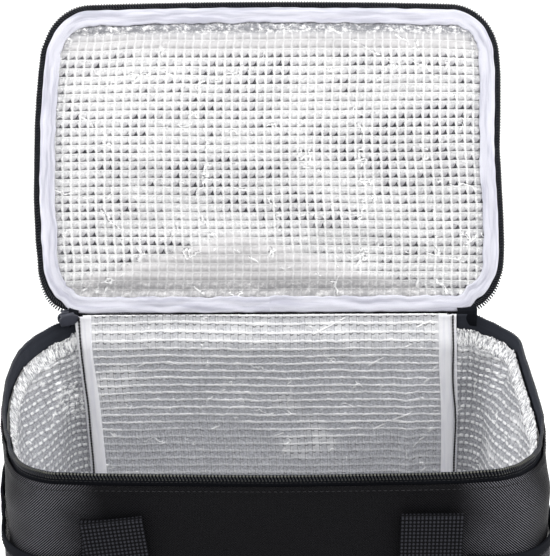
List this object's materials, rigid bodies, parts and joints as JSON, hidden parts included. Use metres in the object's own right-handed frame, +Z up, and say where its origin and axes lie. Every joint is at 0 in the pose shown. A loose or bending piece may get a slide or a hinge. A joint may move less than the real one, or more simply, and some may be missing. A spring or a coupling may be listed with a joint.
{
  "type": "cooler bag",
  "caption": "Boxy insulated lunch bag with a zipped lid hinged at the back, foil lining, webbing handle loops and mesh side pockets.",
  "frame": {"origin": "middle of the base, on the surface that the bag stands on", "axes": "+Z up, the front faces -Y, the lid's hinge is at the back at +Y, +X to the right as seen from the front"},
  "size_m": [0.2954, 0.2784, 0.3671],
  "materials": {
    "outer_fabric": "matte woven polyester",
    "webbing": "matte woven webbing",
    "zip_tape": "matte woven tape",
    "zip_coil": "satin",
    "slider_metal": "satin",
    "white_binding": "matte woven tape",
    "foil": "embossed foil",
    "foam": "matte closed-cell foam",
    "mesh": "knitted mesh"
  },
  "bodies": {
    "bag_body": {"outer_wrap": "outer_fabric", "outer_back_panel": "outer_fabric", "outer_base": "outer_fabric", "wrap_foam": "foam", "back_foam": "foam", "base_foam": "foam", "lining_wrap": "foil", "lining_back": "foil", "lining_base": "foil", "floor_seam_binding": "white_binding", "seam_binding_left": "white_binding", "seam_binding_right": "white_binding", "body_zip_tape": "zip_tape", "body_zip_teeth": "zip_coil", "zip_slider": "slider_metal", "zip_end_tab": "outer_fabric", "hinge_strip": "outer_fabric", "front_strap_left": "webbing", "front_strap_right": "webbing", "back_strap_left": "webbing", "back_strap_right": "webbing", "mesh_pocket_left": "mesh", "mesh_pocket_right": "mesh", "pocket_binding_left": "webbing", "pocket_binding_right": "webbing"},
    "lid": {"lid_outer": "outer_fabric", "lid_foam": "foam", "lid_lining": "foil", "lid_binding": "white_binding", "lid_zip_tape": "zip_tape", "lid_zip_teeth": "zip_coil", "lid_hinge_strip": "outer_fabric"},
    "front_handle": {"front_handle": "webbing"},
    "back_handle": {"back_handle": "webbing"},
    "zip_pull": {"zip_pull": "slider_metal"}
  },
  "joints": [
    {"name": "lid_hinge", "type": "hinge", "parent": "bag_body", "child": "lid", "pos_m": [0, 0.093, 0.2], "axis": [1, 0, 0], "range_deg": [-15, 116]},
    {"name": "front_handle_fold", "type": "hinge", "parent": "bag_body", "child": "front_handle", "pos_m": [0, -0.09505, 0.177], "axis": [-1, 0, 0], "range_deg": [0, 180]},
    {"name": "back_handle_fold", "type": "hinge", "parent": "bag_body", "child": "back_handle", "pos_m": [0, 0.09505, 0.177], "axis": [1, 0, 0], "range_deg": [0, 135]},
    {"name": "pull_swing", "type": "hinge", "parent": "bag_body", "child": "zip_pull", "pos_m": [-0.1203, 0.09019, 0.196], "axis": [-0.3832, 0.9237, 0], "range_deg": [-60, 25]}
  ]
}
